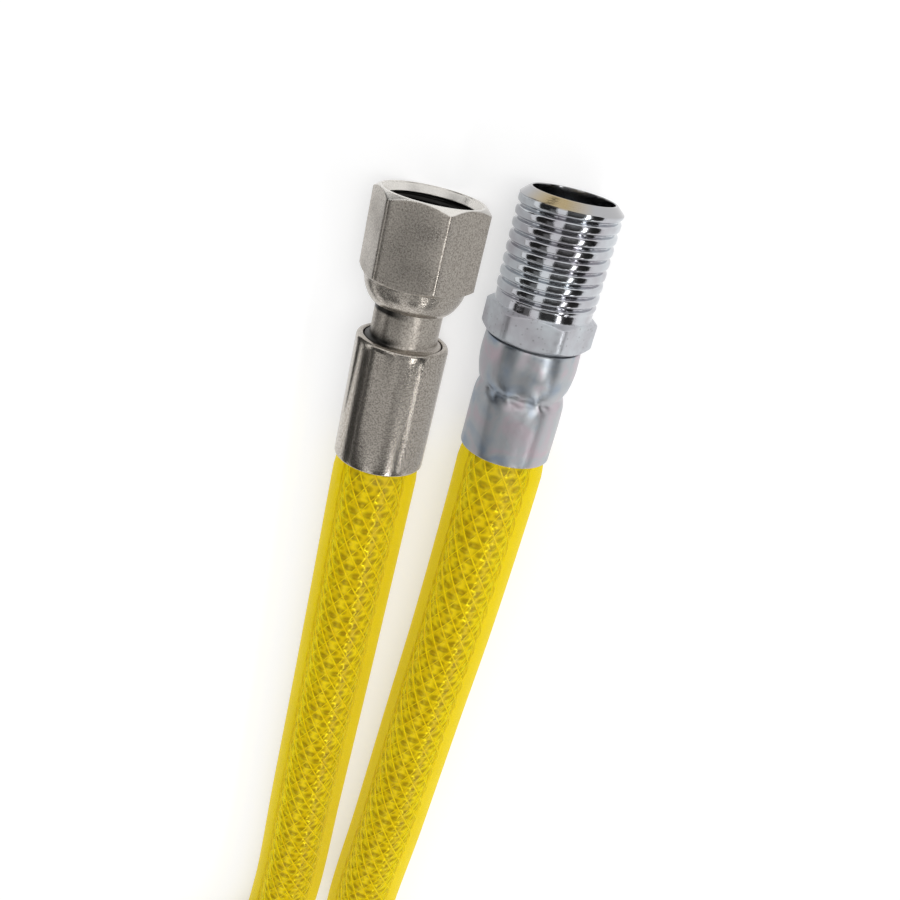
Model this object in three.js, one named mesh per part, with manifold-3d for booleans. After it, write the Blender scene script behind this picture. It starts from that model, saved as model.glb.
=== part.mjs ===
// Flexible gas hose: about a metre of clear yellow reinforced hose with a steel fitting on each end.
// One end has a swivel nut on a barbed stem, the other a fixed male thread with a hexagon.
// Each stem is held in the hose by a pressed ferrule.
// Millimetres, +Z up. The hose lies on the floor with both fittings side by side, pointing along +Y.
import * as THREE from "three";
import { mergeVertices } from "three/addons/utils/BufferGeometryUtils.js";
import Module from "manifold-3d";

// Fits
const contactGap = 0.3;
const slidingGap = 0.4;
const turnedSides = 36;

// Hose
const hoseRadius = 9.6;
const hoseBoreRadius = 6.35;
const hoseSides = 12;
const hoseSteps = 50;
const ferruleSqueeze = 0.8;
const squeezedRunOut = 3;

// Barbed tails of both stems
const tailWall = 1.15;
const tailStart = 1.5;
const tailTipWall = 0.8;
const barbPitch = 4.5;
const barbDepth = 0.5;

// Swivel end: ferrule and stem
const swivelFerruleLength = 28.5;
const swivelFerruleWall = 1.0;
const swivelFerruleRound = 1.1;
const swivelLipThickness = 1.4;
const swivelShoulderInset = 0.5;
const swivelShoulderLength = 2.6;
const shoulderSink = 0.4;
const neckStep = 1.0;
const neckLength = 7.5;
const neckFillet = 0.8;
const collarLength = 3.0;

// Swivel nut
const nutAcrossFlats = 22;
const nutWall = 1.9;
const nutLength = 23.2;
const skirtLength = 5.8;
const skirtBowlShare = 0.7;
const skirtLip = 0.8;
const skirtWall = 1.1;
const skirtStepStart = 0.8;
const skirtStepEnd = 0.5;
const nutCornerChamfer = 1.3;
const nutFaceInset = 0.1;
const neckHoleGap = 0.5;
const neckHoleLength = 1.6;
const reliefDepth = 0.5;
const reliefLength = 6.0;
const countersinkWidening = 1.1;
const countersinkDepth = 2.4;

// Sealing washer in the nut
const washerWidth = 3.3;
const washerThickness = 2;

// Male end: ferrule with a rolled waist
const maleFerruleLength = 25.5;
const maleFerruleWall = 0.8;
const maleLipThickness = 1.4;
const waistPlace = 14.9;
const waistDepth = 0.9;
const waistHalfWidth = 1.7;
const barrelBulge = 0.55;
const ferruleEdge = 0.4;

// Male end: stem, hexagon and thread
const maleShoulderInset = 0.2;
const maleShoulderLength = 3.5;
const hexGap = 0.5;
const maleHexAcrossFlats = 21;
const maleHexLength = 6.5;
const maleHexCornerCut = 0.424;
const maleHexChamfer = 0.9;
const maleHexChamferWidth = 1.26;
const threadRadius = 10.5;
const threadDepth = 0.9;
const threadPitch = 2.44;
const threadTurns = 8;
const threadUndercut = 0.79;
const rimBevel = 1.5;
const rimFace = 0.5;
const maleBoreWall = 1.3;
const maleBoreDepth = 19;
const maleBoreTaper = 4;

// Places of the two fittings
const fittingSpacing = 27;
const mouthStagger = 10.5;
const straightRun = 12;

// Derived sizes
const grippedRadius = hoseRadius - ferruleSqueeze;
const swivelFerruleBore = grippedRadius + contactGap;
const swivelFerruleRadius = swivelFerruleBore + swivelFerruleWall;
const barbRadius = hoseBoreRadius - contactGap;
const tailBoreRadius = barbRadius - barbDepth - tailWall;
const swivelShoulderRadius = grippedRadius - swivelShoulderInset;
const neckRadius = swivelShoulderRadius - neckStep;
const nutThreadRadius = nutAcrossFlats / 2 - nutWall;
const countersinkRadius = nutThreadRadius + countersinkWidening;
const skirtTopRadius = nutThreadRadius + reliefDepth + skirtWall;
const collarRadius = nutThreadRadius - slidingGap;
const washerRadius = nutThreadRadius - contactGap;
const washerBoreRadius = washerRadius - washerWidth;
const skirtStart = swivelFerruleLength + neckLength;
const neckHoleRadius = neckRadius + neckHoleGap;
const skirtEndRadius = neckHoleRadius + skirtLip;
const nutCornerRadius = nutAcrossFlats / Math.sqrt(3);
const seatOffset = contactGap * Math.SQRT2;
const collarConeStart = skirtStart + neckHoleLength - neckHoleGap + seatOffset;
const collarStart = collarConeStart + collarRadius - neckRadius;
const collarFace = collarStart + collarLength;
const washerStart = collarFace + contactGap;
const maleShoulderRadius = grippedRadius - maleShoulderInset;
const maleHexCornerRadius = maleHexAcrossFlats / Math.sqrt(3) - maleHexCornerCut;
const maleBoreRadius = threadRadius - threadDepth - maleBoreWall;
const hexStart = maleFerruleLength + hexGap;
const hexEnd = hexStart + maleHexLength;
const threadStart = hexEnd + threadUndercut;
const maleLength = threadStart + (threadTurns + 0.5) * threadPitch + rimBevel;
const swivelX = (nutCornerRadius - maleHexCornerRadius - fittingSpacing) / 2;
const maleX = swivelX + fittingSpacing;
const swivelMouthY = -(mouthStagger + maleLength) / 2;
const maleMouthY = swivelMouthY + mouthStagger;
const swivelHeight = nutAcrossFlats / 2;
const maleHeight = maleHexAcrossFlats / 2;

const wasm = await Module();
wasm.setup();

// A closed geometry as a solid that can be joined and cut
function solidOf(geometry) {
  const bare = geometry.clone();
  bare.deleteAttribute("normal");
  bare.deleteAttribute("uv");
  const merged = mergeVertices(bare, 1e-4);
  const corners = [];
  for (let i = 0; i < merged.index.count; i += 3) {
    const [a, b, c] = merged.index.array.slice(i, i + 3);
    if (a !== b && b !== c && c !== a) corners.push(a, b, c);
  }
  return new wasm.Manifold(
    new wasm.Mesh({
      numProp: 3,
      vertProperties: merged.attributes.position.array,
      triVerts: new Uint32Array(corners),
    }),
  );
}

// A solid as a geometry with flat faces
function geometryOf(solid) {
  const { vertProperties, triVerts } = solid.getMesh();
  const indexed = new THREE.BufferGeometry();
  indexed.setAttribute("position", new THREE.BufferAttribute(vertProperties, 3));
  indexed.setIndex(new THREE.BufferAttribute(triVerts, 1));
  const geometry = indexed.toNonIndexed();
  geometry.computeVertexNormals();
  return geometry;
}

// A piece turned about the Z axis: its half section runs anticlockwise, as [radius, height] points
function turned(section) {
  const outline = [...section, section[0]].map(([radius, height]) => new THREE.Vector2(radius, height));
  return solidOf(new THREE.LatheGeometry(outline, turnedSides).rotateX(Math.PI / 2));
}

// A hexagonal bar between two heights, with two of its corners on the X axis
function hexagonBar(acrossFlats, start, end) {
  const outline = new THREE.Shape();
  for (let corner = 0; corner < 6; corner += 1) {
    const angle = (corner * Math.PI) / 3;
    const radius = acrossFlats / Math.sqrt(3);
    const point = [radius * Math.cos(angle), radius * Math.sin(angle)];
    if (corner === 0) outline.moveTo(...point);
    else outline.lineTo(...point);
  }
  const bar = new THREE.ExtrudeGeometry(outline, { depth: end - start, bevelEnabled: false });
  return solidOf(bar.translate(0, 0, start));
}

// Outline of a barbed tail from its tip up to a height: saw teeth that grip the bore of the hose
function barbedTail(end) {
  const points = [
    [tailBoreRadius, tailStart],
    [tailBoreRadius + tailTipWall, tailStart],
  ];
  const barbs = Math.floor((end - tailStart) / barbPitch);
  for (let barb = 1; barb <= barbs; barb += 1) {
    const crest = tailStart + barb * barbPitch;
    points.push([barbRadius, crest - 0.2 * barbPitch]);
    points.push([barbRadius - barbDepth, crest]);
  }
  points.push([barbRadius - barbDepth, end]);
  return points;
}

// Half section of the hose's end inside a ferrule, squeezed between the ferrule and the tail
function squeezedEnd(outer, end) {
  return [[hoseBoreRadius, -squeezedRunOut], [grippedRadius, -squeezedRunOut], ...outer, [hoseBoreRadius, end]];
}

// Swivel end: plain ferrule with a rounded upper edge and an inward lip
function swivelFerrule() {
  const lipStart = swivelFerruleLength - swivelLipThickness;
  const lipRadius = swivelShoulderRadius + contactGap;
  const points = [
    [swivelFerruleBore, 0],
    [swivelFerruleRadius - ferruleEdge, 0],
    [swivelFerruleRadius, ferruleEdge],
  ];
  for (let step = 0; step <= 4; step += 1) {
    const angle = (step * Math.PI) / 8;
    points.push([
      swivelFerruleRadius - swivelFerruleRound * (1 - Math.cos(angle)),
      swivelFerruleLength - swivelFerruleRound * (1 - Math.sin(angle)),
    ]);
  }
  points.push([lipRadius, swivelFerruleLength], [lipRadius, lipStart], [swivelFerruleBore, lipStart]);
  return turned(points);
}

// Swivel end: stem turned in one piece, with tail, shoulder, bare neck and the collar inside the nut
function swivelStem() {
  const shoulderTop = swivelFerruleLength - shoulderSink;
  const shoulderStart = shoulderTop - swivelShoulderLength;
  return turned([
    ...barbedTail(shoulderStart),
    [swivelShoulderRadius, shoulderStart],
    [swivelShoulderRadius, shoulderTop],
    [neckRadius + neckFillet, shoulderTop],
    [neckRadius + neckFillet / 3, shoulderTop + neckFillet / 3],
    [neckRadius, shoulderTop + neckFillet],
    [neckRadius, collarConeStart],
    [collarRadius, collarStart],
    [collarRadius, collarFace],
    [tailBoreRadius, collarFace],
  ]);
}

// Swivel nut: hexagon with chamfered corners, bowl-shaped skirt, threaded bore and a cone seat
function swivelNut() {
  const nutEnd = skirtStart + nutLength;
  const hexagonStart = skirtStart + skirtLength;
  const faceRadius = nutAcrossFlats / 2 - nutFaceInset;
  const wideRadius = nutCornerRadius + 1;
  const skirt = [];
  for (let step = 0; step <= 4; step += 1) {
    const angle = (step * Math.PI) / 8;
    skirt.push([
      skirtEndRadius + (skirtTopRadius - skirtEndRadius) * Math.sin(angle),
      skirtStart + skirtLength * skirtBowlShare * (1 - Math.cos(angle)),
    ]);
  }
  const turnedOutline = turned([
    [0, skirtStart],
    ...skirt,
    [skirtTopRadius, hexagonStart - skirtStepStart],
    [wideRadius, hexagonStart + skirtStepEnd],
    [wideRadius, nutEnd - nutCornerChamfer * ((wideRadius - faceRadius) / (nutCornerRadius - faceRadius))],
    [faceRadius, nutEnd],
    [0, nutEnd],
  ]);
  const seatRadius = nutThreadRadius + reliefDepth;
  const seatEnd = skirtStart + neckHoleLength + seatRadius - neckHoleRadius;
  const hollow = turned([
    [0, skirtStart - 1],
    [neckHoleRadius, skirtStart - 1],
    [neckHoleRadius, skirtStart + neckHoleLength],
    [seatRadius, seatEnd],
    [seatRadius, seatEnd + reliefLength],
    [nutThreadRadius, seatEnd + reliefLength + reliefDepth],
    [nutThreadRadius, nutEnd - countersinkDepth],
    [countersinkRadius, nutEnd],
    [countersinkRadius, nutEnd + 1],
    [0, nutEnd + 1],
  ]);
  return hexagonBar(nutAcrossFlats, skirtStart, nutEnd).intersect(turnedOutline).subtract(hollow);
}

// Flat washer on the collar's face, which the mating pipe presses tight
function sealingWasher() {
  return turned([
    [washerBoreRadius, washerStart],
    [washerRadius, washerStart],
    [washerRadius, washerStart + washerThickness],
    [washerBoreRadius, washerStart + washerThickness],
  ]);
}

// Outline of the male ferrule's wall at a distance inside or outside the hose that it squeezes
function waistedWall(offset, start, end) {
  return [
    [grippedRadius + offset, start],
    [grippedRadius + offset, waistPlace - waistHalfWidth],
    [grippedRadius + offset - waistDepth, waistPlace - waistHalfWidth / 4],
    [grippedRadius + offset - waistDepth, waistPlace + waistHalfWidth / 4],
    [grippedRadius + offset + barrelBulge * 0.7, waistPlace + waistHalfWidth],
    [grippedRadius + offset + barrelBulge, waistPlace + 2.5 * waistHalfWidth],
    [grippedRadius + offset + barrelBulge * 0.7, end],
  ];
}

// Male end: ferrule with a rolled waist between its two barrels
function maleFerrule() {
  const lipRadius = maleShoulderRadius + contactGap;
  const lipStart = maleFerruleLength - maleLipThickness;
  const outside = contactGap + maleFerruleWall;
  return turned([
    [grippedRadius + contactGap, 0],
    [grippedRadius + outside - ferruleEdge, 0],
    ...waistedWall(outside, ferruleEdge, maleFerruleLength - ferruleEdge),
    [grippedRadius + outside - ferruleEdge, maleFerruleLength],
    [lipRadius, maleFerruleLength],
    [lipRadius, lipStart],
    ...waistedWall(contactGap, 1, lipStart).reverse(),
  ]);
}

// Male end: stem turned from hexagon bar, with tail, shoulder, hexagon and a thread cut as ridges
function maleStem() {
  const rootRadius = threadRadius - threadDepth;
  const thread = [[rootRadius, hexEnd]];
  for (let turn = 0; turn < threadTurns; turn += 1) {
    thread.push([rootRadius, threadStart + turn * threadPitch]);
    thread.push([threadRadius, threadStart + (turn + 0.5) * threadPitch]);
  }
  thread.push([rootRadius, threadStart + threadTurns * threadPitch]);
  thread.push([threadRadius, maleLength - rimBevel]);
  thread.push([maleBoreRadius + rimFace, maleLength]);
  const shoulderStart = hexStart - maleShoulderLength;
  const bar = turned([
    [0, tailStart],
    ...barbedTail(shoulderStart).slice(1),
    [maleShoulderRadius, shoulderStart],
    [maleShoulderRadius, hexStart + 1],
    ...thread,
    [0, maleLength],
  ]);
  const chamferRadius = maleHexCornerRadius - maleHexChamferWidth;
  const hexagonOutline = turned([
    [0, hexStart],
    [chamferRadius, hexStart],
    [maleHexCornerRadius, hexStart + maleHexChamfer],
    [maleHexCornerRadius, hexEnd - maleHexChamfer],
    [chamferRadius, hexEnd],
    [0, hexEnd],
  ]);
  const hexagon = hexagonBar(maleHexAcrossFlats, hexStart, hexEnd).intersect(hexagonOutline);
  const boreEnd = maleLength - maleBoreDepth;
  const bore = turned([
    [0, tailStart - 1],
    [tailBoreRadius, tailStart - 1],
    [tailBoreRadius, boreEnd - maleBoreTaper],
    [maleBoreRadius, boreEnd],
    [maleBoreRadius, maleLength + 1],
    [0, maleLength + 1],
  ]);
  return bar.add(hexagon).subtract(bore);
}

// Each fitting is built along its own Z axis, with the ferrule's mouth at zero, then laid along +Y
function fitting(x, mouthY, height) {
  const group = new THREE.Group();
  group.position.set(x, mouthY, height);
  group.rotation.x = -Math.PI / 2;
  group.updateMatrixWorld(true);
  return group;
}

const swivelEnd = fitting(swivelX, swivelMouthY, swivelHeight);
const maleEnd = fitting(maleX, maleMouthY, maleHeight);

// Route of the hose from the swivel end to the male end: two legs and one flat open loop, lying
// on the floor. Its points are chosen by hand
const lying = hoseRadius;
const route = [
  [swivelX, swivelMouthY - contactGap, swivelHeight],
  [swivelX, swivelMouthY - straightRun, swivelHeight],
  [-13.1, -70, 10.3],
  [-13.2, -100, 9.8],
  [-13.4, -140, lying],
  [-13.6, -180, lying],
  [-16.1, -203, lying],
  [-23.6, -222.4, lying],
  [-35.6, -238.7, lying],
  [-51.2, -251.5, lying],
  [-79.4, -278.9, lying],
  [-93.4, -315.6, lying],
  [-90.9, -354.8, lying],
  [-72.3, -389.4, lying],
  [-40.9, -413.1, lying],
  [-2.5, -421.5, lying],
  [35.9, -413.1, lying],
  [67.3, -389.4, lying],
  [85.9, -354.8, lying],
  [88.4, -315.6, lying],
  [74.4, -278.9, lying],
  [46.2, -251.5, lying],
  [30.6, -238.7, lying],
  [18.6, -222.4, lying],
  [11.3, -203, lying],
  [9.0, -180, lying],
  [10.6, -140, lying],
  [12.1, -100, 9.7],
  [13.3, -70, 10.1],
  [maleX, maleMouthY - straightRun, maleHeight],
  [maleX, maleMouthY - contactGap, maleHeight],
].map((point) => new THREE.Vector3(...point));

// The hose: a plain tube along its route, and a squeezed end inside each ferrule
function hose() {
  const section = new THREE.Shape();
  const bore = new THREE.Path();
  for (let side = 0; side < hoseSides; side += 1) {
    const angle = (side * 2 * Math.PI) / hoseSides;
    const [x, y] = [Math.cos(angle), Math.sin(angle)];
    if (side === 0) {
      section.moveTo(hoseRadius * x, hoseRadius * y);
      bore.moveTo(hoseBoreRadius * x, hoseBoreRadius * y);
    } else {
      section.lineTo(hoseRadius * x, hoseRadius * y);
      bore.lineTo(hoseBoreRadius * x, hoseBoreRadius * y);
    }
  }
  section.holes.push(bore);
  const path = new THREE.CatmullRomCurve3(route, false, "centripetal");
  const tube = solidOf(new THREE.ExtrudeGeometry(section, { steps: hoseSteps, extrudePath: path }));

  const swivelHoseEnd = swivelFerruleLength - shoulderSink - swivelShoulderLength - contactGap;
  const plainEnd = [[grippedRadius, swivelHoseEnd]];
  const maleHoseEnd = hexStart - maleShoulderLength - contactGap;
  const inSwivel = turned(squeezedEnd(plainEnd, swivelHoseEnd));
  const inMale = turned(squeezedEnd(waistedWall(0, 1, maleHoseEnd), maleHoseEnd));
  return tube
    .add(inSwivel.transform(swivelEnd.matrixWorld.elements))
    .add(inMale.transform(maleEnd.matrixWorld.elements));
}

// Materials
const nickel = { color: "#9a958c", metalness: 0.9, roughness: 0.42 };
const chrome = { color: "#c3c5c9", metalness: 1.0, roughness: 0.18 };
const zinc = { color: "#a2a5ad", metalness: 0.9, roughness: 0.3 };
const fibre = { color: "#3a3a38", metalness: 0.0, roughness: 0.8 };
const clearYellow = { color: "#e3c800", metalness: 0.0, roughness: 0.35 };

function piece(name, solid, look) {
  const mesh = new THREE.Mesh(geometryOf(solid), new THREE.MeshStandardMaterial(look));
  mesh.name = name;
  return mesh;
}

swivelEnd.add(
  piece("swivel_nut", swivelNut(), nickel),
  piece("sealing_washer", sealingWasher(), fibre),
  piece("swivel_stem", swivelStem(), nickel),
  piece("swivel_ferrule", swivelFerrule(), nickel),
);
maleEnd.add(piece("male_stem", maleStem(), chrome), piece("male_ferrule", maleFerrule(), zinc));

const gasHose = new THREE.Group();
gasHose.add(swivelEnd, maleEnd, piece("hose", hose(), clearYellow));

export default gasHose;
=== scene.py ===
import bmesh
import bpy
import numpy as np
from mathutils import Matrix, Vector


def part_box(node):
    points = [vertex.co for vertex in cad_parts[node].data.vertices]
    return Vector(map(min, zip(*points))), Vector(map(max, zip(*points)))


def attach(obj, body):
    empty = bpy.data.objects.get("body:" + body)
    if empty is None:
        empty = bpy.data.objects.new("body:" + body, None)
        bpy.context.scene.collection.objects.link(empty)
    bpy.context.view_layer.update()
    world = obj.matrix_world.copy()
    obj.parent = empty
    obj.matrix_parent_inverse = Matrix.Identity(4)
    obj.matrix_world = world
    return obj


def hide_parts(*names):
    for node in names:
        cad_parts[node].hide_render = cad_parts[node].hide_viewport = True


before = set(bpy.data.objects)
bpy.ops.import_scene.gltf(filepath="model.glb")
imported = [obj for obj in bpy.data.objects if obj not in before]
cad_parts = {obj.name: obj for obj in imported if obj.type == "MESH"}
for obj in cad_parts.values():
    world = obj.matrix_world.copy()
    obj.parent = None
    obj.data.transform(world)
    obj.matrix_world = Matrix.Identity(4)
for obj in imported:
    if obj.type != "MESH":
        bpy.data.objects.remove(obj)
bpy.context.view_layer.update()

# Camera. It hangs above the floor and looks down on both fittings, from beyond their open ends
# and a little from the right. The hose runs away from it towards the lower edge of the picture.
mm = 0.001
aim = np.array([2.6, -26.6, 11.2]) * mm
camera_distance = 200 * mm
lean_back, lean_right, camera_roll = np.radians([25.0, 6.0, 14.0])
focal_mm = 36.0
sensor_mm = 36.0

sideways = np.array([
    [np.cos(lean_right), 0, np.sin(lean_right)],
    [0, 1, 0],
    [-np.sin(lean_right), 0, np.cos(lean_right)],
])
looking = sideways @ [0, -np.sin(lean_back), -np.cos(lean_back)]
level_up = sideways @ [0, np.cos(lean_back), -np.sin(lean_back)]
level_right = np.cross(looking, level_up)
camera_up = np.cos(camera_roll) * level_up - np.sin(camera_roll) * level_right
camera_right = np.cross(looking, camera_up)
camera_place = aim - camera_distance * looking

camera_data = bpy.data.cameras.new("camera")
camera_data.lens = focal_mm
camera_data.sensor_width = sensor_mm
camera_data.clip_start = 5 * mm
camera = bpy.data.objects.new("camera", camera_data)
turn = np.eye(4)
turn[:3, 0], turn[:3, 1], turn[:3, 2], turn[:3, 3] = camera_right, camera_up, -looking, camera_place
camera.matrix_world = Matrix(turn.tolist())
bpy.context.scene.collection.objects.link(camera)
bpy.context.scene.camera = camera
bpy.context.scene.view_settings.view_transform = "Standard"

# Hose, route. A metre of clear yellow hose of 19.2 mm, which leaves one ferrule, runs in two legs
# and one flat open loop on the floor, and goes back into the other ferrule.
hose_radius = 9.6 * mm
swivel_low, swivel_high = (np.array(corner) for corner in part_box("swivel_ferrule"))
male_low, male_high = (np.array(corner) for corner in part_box("male_ferrule"))
swivel_place = np.array([
    (swivel_low[0] + swivel_high[0]) / 2,
    swivel_low[1],
    (swivel_low[2] + swivel_high[2]) / 2,
])
male_place = np.array([
    (male_low[0] + male_high[0]) / 2,
    male_low[1],
    (male_low[2] + male_high[2]) / 2,
])
same_point = 0.0001 * mm
mouth_gap = 0.3 * mm
straight_run = 12 * mm
lying = 9.6
floor_route = np.array([
    [-13.1, -70, 10.3],
    [-13.2, -100, 9.8],
    [-13.4, -140, lying],
    [-13.6, -180, lying],
    [-16.1, -203, lying],
    [-23.6, -222.4, lying],
    [-35.6, -238.7, lying],
    [-51.2, -251.5, lying],
    [-79.4, -278.9, lying],
    [-93.4, -315.6, lying],
    [-90.9, -354.8, lying],
    [-72.3, -389.4, lying],
    [-40.9, -413.1, lying],
    [-2.5, -421.5, lying],
    [35.9, -413.1, lying],
    [67.3, -389.4, lying],
    [85.9, -354.8, lying],
    [88.4, -315.6, lying],
    [74.4, -278.9, lying],
    [46.2, -251.5, lying],
    [30.6, -238.7, lying],
    [18.6, -222.4, lying],
    [11.3, -203, lying],
    [9.0, -180, lying],
    [10.6, -140, lying],
    [12.1, -100, 9.7],
    [13.3, -70, 10.1],
]) * mm
along_y = np.array([0, 1, 0])
hose_route = np.vstack([
    swivel_place - mouth_gap * along_y,
    swivel_place - straight_run * along_y,
    floor_route,
    male_place - straight_run * along_y,
    male_place - mouth_gap * along_y,
])


def smooth_route(points, step):
    """Centripetal Catmull-Rom curve through the points, as even points about a step apart. Each
    stretch is a cubic between two points, with slopes that weigh its neighbours' distances."""
    ends = [2 * points[:1] - points[1:2], points, 2 * points[-1:] - points[-2:-1]]
    padded = np.vstack(ends)
    before, start, stop, after = padded[:-3], padded[1:-2], padded[2:-1], padded[3:]
    first, middle, last = (
        np.sqrt(np.linalg.norm(q - p, axis=1))[:, None]
        for p, q in ((before, start), (start, stop), (stop, after))
    )
    leave = (start - before) / first - (stop - before) / (first + middle) + (stop - start) / middle
    reach = (stop - start) / middle - (after - start) / (middle + last) + (after - stop) / last
    leave, reach = leave * middle, reach * middle
    share = np.linspace(0, 1, 60, endpoint=False)[None, :, None]
    start, stop, leave, reach = (a[:, None, :] for a in (start, stop, leave, reach))
    curve = (
        start
        + leave * share
        + (3 * (stop - start) - 2 * leave - reach) * share**2
        + (2 * (start - stop) + leave + reach) * share**3
    )
    curve = np.vstack([curve.reshape(-1, 3), points[-1]])
    run = np.concatenate([[0], np.cumsum(np.linalg.norm(np.diff(curve, axis=0), axis=1))])
    even = np.linspace(0, run[-1], int(round(run[-1] / step)) + 1)
    return np.stack([np.interp(even, run, curve[:, axis]) for axis in range(3)], axis=1)


def across_route(centre):
    """The sideways and the upward unit vectors square to the route at each of its points."""
    ahead = np.gradient(centre, axis=0)
    ahead /= np.linalg.norm(ahead, axis=1)[:, None]
    aside = np.cross([0, 0, 1], ahead)
    aside /= np.linalg.norm(aside, axis=1)[:, None]
    return aside, np.cross(ahead, aside)


def quad_mesh(name, points, quads, uv=None):
    """A smooth-shaded object of these points and four-sided faces, with a UV pair for each face
    corner. Points in one place become one point, so a ring without radius closes as a pole."""
    mesh = bpy.data.meshes.new(name)
    mesh.vertices.add(len(points))
    mesh.vertices.foreach_set("co", points.astype(np.float32).reshape(-1))
    mesh.loops.add(quads.size)
    mesh.loops.foreach_set("vertex_index", quads.astype(np.int32).reshape(-1))
    mesh.polygons.add(len(quads))
    mesh.polygons.foreach_set("loop_start", np.arange(0, quads.size, 4, dtype=np.int32))
    mesh.update(calc_edges=True)
    mesh.shade_smooth()
    if uv is not None:
        layer = mesh.uv_layers.new(name="surface")
        layer.data.foreach_set("uv", uv.astype(np.float32).reshape(-1))
    shell = bmesh.new()
    shell.from_mesh(mesh)
    bmesh.ops.remove_doubles(shell, verts=shell.verts, dist=same_point)
    shell.to_mesh(mesh)
    shell.free()
    piece = bpy.data.objects.new(name, mesh)
    bpy.context.scene.collection.objects.link(piece)
    return piece


def ring_quads(rings, around, closed):
    """Faces between the neighbours of a grid that closes round each ring: point j of ring k with
    point j + 1 and with ring k + 1. If closed, the last ring joins the first."""
    k, j = np.meshgrid(np.arange(rings if closed else rings - 1), np.arange(around), indexing="ij")
    far_k, far_j = (k + 1) % rings, (j + 1) % around
    corners = [k * around + j, k * around + far_j, far_k * around + far_j, far_k * around + j]
    return np.stack(corners, axis=-1).reshape(-1, 4)


def fill_material(name, slot, *pieces):
    """A new material on these pieces: its Principled shader, a function that adds a node to it
    with these socket values or links, and its links."""
    material = bpy.data.materials.new(name)
    material.use_nodes = True
    nodes, links = material.node_tree.nodes, material.node_tree.links
    surface = nodes["Principled BSDF"]

    def add(kind, sockets=(), **settings):
        node = nodes.new(kind)
        for key, value in settings.items():
            setattr(node, key, value)
        for key, value in dict(sockets).items():
            if isinstance(value, bpy.types.NodeSocket):
                links.new(value, node.inputs[key])
            else:
                node.inputs[key].default_value = value
        return node

    for piece in pieces:
        piece.data.materials.clear()
        piece.data.materials.append(material)
    return surface, add, links


def two_tones(add, share, low, dark, high, pale):
    """The colour socket of a ramp that is dark up to the share low and pale from the share high."""
    ramp = add("ShaderNodeValToRGB", {"Fac": share})
    for stop, position, colour in zip(ramp.color_ramp.elements, (low, high), (dark, pale)):
        stop.position = position
        stop.color = (*colour, 1)
    return ramp.outputs["Color"]


def fade(add, value, edge, before, after):
    """A number that goes evenly from before to after while the value crosses the edge."""
    sockets = {0: value, 1: edge[0], 2: edge[1], 3: before, 4: after}
    return add("ShaderNodeMapRange", sockets).outputs[0]


# Hose, cover. The clear yellow vinyl outside, drawn over the net. It narrows where the ferrules
# press it on the tails. Its gloss is that of soft vinyl, and it shows the net and the tube beneath.
cover_step = 2 * mm
cover_around = 64
squeeze = 0.8 * mm
squeeze_reach = 3 * mm
inside_ferrule = 1 * mm
cover_filter = (1.0, 0.89, 0.02, 1)
cover_body = 0.22


def hose_line(step):
    """The route with one more point at each end, inside the ferrules, and the run from the first
    point to each, summed over the steps."""
    centre = smooth_route(hose_route, step)
    deeper = inside_ferrule * along_y
    centre = np.vstack([centre[0] + deeper, centre, centre[-1] + deeper])
    run = np.concatenate([[0], np.cumsum(np.linalg.norm(np.diff(centre, axis=0), axis=1))])
    return centre, run


def squeezed(radius, run):
    """The radius less the ferrules' squeeze, which grows from nothing to all of it over the last
    few mm along an S-shaped curve, share squared times (3 less twice the share)."""
    to_end = np.minimum(run, run[-1] - run) - inside_ferrule
    share = np.clip(1 - to_end / squeeze_reach, 0, 1)
    return radius - squeeze * share**2 * (3 - 2 * share)


def closed_tube(name, step, around, radius_at):
    """Tube round the hose line: centre + radius * (cos angle * aside + sin angle * above), closed
    by a pole at each end. Its UV gives the share of a turn and the metres along."""
    centre, run = hose_line(step)
    centre = np.vstack([centre[:1], centre, centre[-1:]])
    run = np.concatenate([run[:1], run, run[-1:]])
    angle = np.linspace(0, 2 * np.pi, around, endpoint=False)[None, :] * np.ones((len(run), 1))
    radius = radius_at(run[:, None], angle)
    radius[[0, -1]] = 0
    aside, above = across_route(centre[1:-1])
    aside = np.vstack([aside[:1], aside, aside[-1:]])
    above = np.vstack([above[:1], above, above[-1:]])
    ring = np.cos(angle)[..., None] * aside[:, None] + np.sin(angle)[..., None] * above[:, None]
    points = centre[:, None] + radius[..., None] * ring
    quads = ring_quads(len(run), around, closed=False)
    turn_share = np.arange(around) / around
    next_share = turn_share + 1 / around
    u = np.stack([turn_share, next_share, next_share, turn_share], axis=-1)
    v = np.stack([run[:-1], run[:-1], run[1:], run[1:]], axis=-1)
    uv = np.stack(np.broadcast_arrays(u[None, :], v[:, None]), axis=-1)
    return quad_mesh(name, points.reshape(-1, 3), quads, uv.reshape(-1, 2))


cover = closed_tube(
    "hose_cover",
    cover_step,
    cover_around,
    lambda run, angle: squeezed(hose_radius, run) * np.ones_like(angle),
)
vinyl, add, link = fill_material("clear yellow vinyl", "clear_yellow", cover)
place = add("ShaderNodeTexCoord").outputs["Object"]
cloud = add("ShaderNodeTexNoise", {"Vector": place, "Scale": 90.0, "Detail": 3.0}).outputs["Fac"]
tint = two_tones(add, cloud, 0.35, (0.76, 0.60, 0.002), 0.65, (0.88, 0.75, 0.006))
ripple = add("ShaderNodeTexNoise", {"Vector": place, "Scale": 420.0, "Detail": 2.0}).outputs["Fac"]
skin = add("ShaderNodeBump", {"Height": ripple, "Strength": 0.25, "Distance": 0.0003})
link.new(tint, vinyl.inputs["Base Color"])
link.new(skin.outputs["Normal"], vinyl.inputs["Normal"])
vinyl.inputs["Roughness"].default_value = 0.34
vinyl.inputs["IOR"].default_value = 1.5
vinyl.inputs["Coat Weight"].default_value = 0.2
vinyl.inputs["Coat Roughness"].default_value = 0.2
clear = add("ShaderNodeBsdfTransparent", {"Color": cover_filter})
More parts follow.
